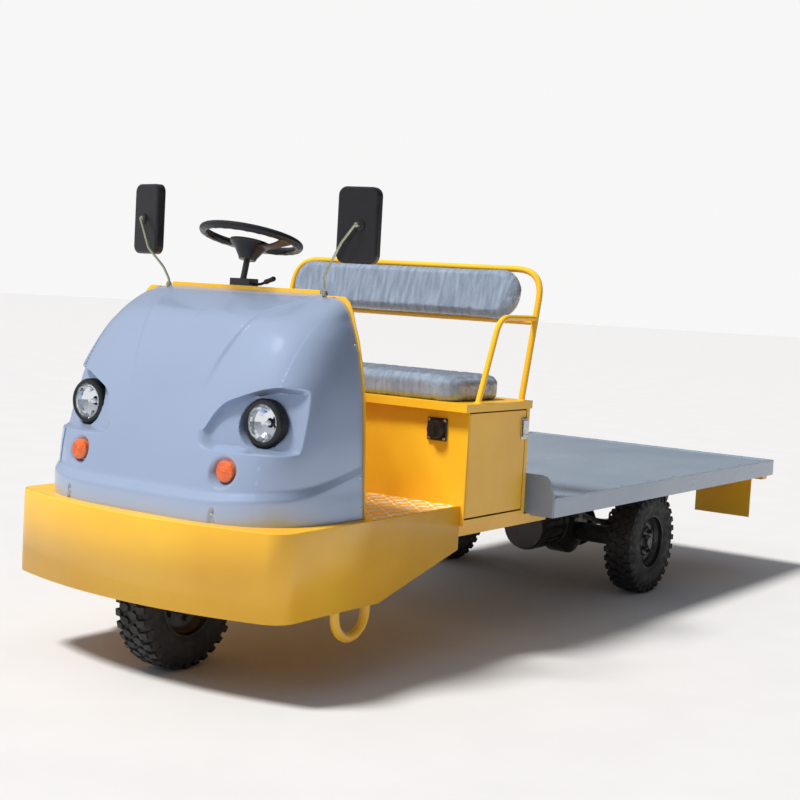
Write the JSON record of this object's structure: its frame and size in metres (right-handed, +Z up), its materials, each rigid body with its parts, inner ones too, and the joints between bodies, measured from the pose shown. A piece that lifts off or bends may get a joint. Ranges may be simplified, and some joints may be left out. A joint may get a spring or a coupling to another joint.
{
  "type": "electric three-wheeled platform truck",
  "caption": "Ride-on electric platform truck: one steered front wheel under a moulded cowl, bench seat on a battery box, long flat load bed on a sprung rear axle.",
  "frame": {"origin": "on the ground, under the middle of the truck's overall box", "axes": "+Z up, the front at -Y, the vehicle's left side at +X"},
  "size_m": [1.426, 3.906, 1.6595],
  "materials": {
    "yellow_enamel": "glossy yellow enamel on folded steel",
    "cowl_gelcoat": "glossy blue-grey gelcoat on moulded glass fibre",
    "bed_enamel": "grey-blue enamel on the steel load bed",
    "black_enamel": "satin black chassis enamel",
    "black_plastic": "fine-grained black plastic",
    "tyre_rubber": "black solid tyre rubber with a block tread",
    "seat_vinyl": "blue-grey vinyl under clear wrapping film",
    "lamp_glass": "clear fluted headlamp glass",
    "orange_lens": "orange moulded lens",
    "red_lens": "red moulded lens",
    "zinc_rod": "yellow-green passivated zinc plate",
    "latch_steel": "bright plated steel",
    "battery_case": "black battery tray"
  },
  "bodies": {
    "chassis": {"accelerator_pedal": "black_enamel", "battery_box": "yellow_enamel", "battery_pack": "battery_case", "bed_deck": "bed_enamel", "bed_end_member": "yellow_enamel", "bed_front_board": "bed_enamel", "bed_member_front": "yellow_enamel", "bed_member_rear": "yellow_enamel", "box_sill": "yellow_enamel", "brake_pedal": "black_enamel", "charge_socket": "black_plastic", "cowl": "cowl_gelcoat", "dash_panel": "yellow_enamel", "direction_lever": "black_plastic", "drive_motor": "black_enamel", "floor_member": "yellow_enamel", "floor_plate": "yellow_enamel", "frame_rail_left": "yellow_enamel", "frame_rail_right": "yellow_enamel", "front_apron": "yellow_enamel", "headlamp_left": "lamp_glass", "headlamp_right": "lamp_glass", "indicator_left": "orange_lens", "indicator_right": "orange_lens", "lashing_loop_left": "yellow_enamel", "lashing_loop_right": "yellow_enamel", "leaf_spring_left": "black_enamel", "leaf_spring_right": "black_enamel", "mirror_arm_left": "zinc_rod", "mirror_arm_right": "zinc_rod", "mirror_left": "black_plastic", "mirror_right": "black_plastic", "rear_axle": "black_enamel", "steering_column": "black_enamel", "steering_head": "yellow_enamel", "tail_lamp_left": "red_lens", "tail_lamp_right": "red_lens"},
    "steering_fork": {"steering_fork": "yellow_enamel", "front_axle_pin": "black_enamel"},
    "front_wheel": {"front_rim": "black_enamel", "front_tyre": "tyre_rubber"},
    "rear_wheel_left": {"rear_rim_left": "black_enamel", "rear_tyre_left": "tyre_rubber"},
    "rear_wheel_right": {"rear_rim_right": "black_enamel", "rear_tyre_right": "tyre_rubber"},
    "steering_wheel": {"steering_wheel": "black_plastic"},
    "seat": {"seat_lid": "yellow_enamel", "seat_frame": "yellow_enamel", "seat_cushion": "seat_vinyl", "backrest_cushion": "seat_vinyl"},
    "battery_door_left": {"battery_door_left": "yellow_enamel", "door_latch_left": "latch_steel"},
    "battery_door_right": {"battery_door_right": "yellow_enamel", "door_latch_right": "latch_steel"}
  },
  "joints": [
    {"name": "fork_steer", "type": "hinge", "parent": "chassis", "child": "steering_fork", "pos_m": [0, -1.664, 0.5], "axis": [0, 0, 1], "range_deg": [-55, 55]},
    {"name": "front_wheel_spin", "type": "hinge", "parent": "steering_fork", "child": "front_wheel", "pos_m": [0, -1.664, 0.235], "axis": [1, 0, 0], "continuous": true},
    {"name": "rear_wheel_left_spin", "type": "hinge", "parent": "chassis", "child": "rear_wheel_left", "pos_m": [0.517, 0.847, 0.235], "axis": [1, 0, 0], "continuous": true},
    {"name": "rear_wheel_right_spin", "type": "hinge", "parent": "chassis", "child": "rear_wheel_right", "pos_m": [-0.517, 0.847, 0.235], "axis": [1, 0, 0], "continuous": true},
    {"name": "steering_wheel_turn", "type": "hinge", "parent": "chassis", "child": "steering_wheel", "pos_m": [-0.026, -1.339, 1.478], "axis": [0, 0.225, 0.9744], "range_deg": [-331, 331]},
    {"name": "seat_tip", "type": "hinge", "parent": "chassis", "child": "seat", "pos_m": [0, -0.407, 0.92], "axis": [-1, 0, 0], "range_deg": [0, 80]},
    {"name": "battery_door_left_swing", "type": "hinge", "parent": "chassis", "child": "battery_door_left", "pos_m": [0.62, -0.843, 0.7], "axis": [0, 0, -1], "range_deg": [0, 110]},
    {"name": "battery_door_right_swing", "type": "hinge", "parent": "chassis", "child": "battery_door_right", "pos_m": [-0.62, -0.843, 0.7], "axis": [0, 0, 1], "range_deg": [0, 110]}
  ],
  "couplings": [
    {"joint": "steering_wheel_turn", "follows": "fork_steer", "ratio": 6}
  ]
}
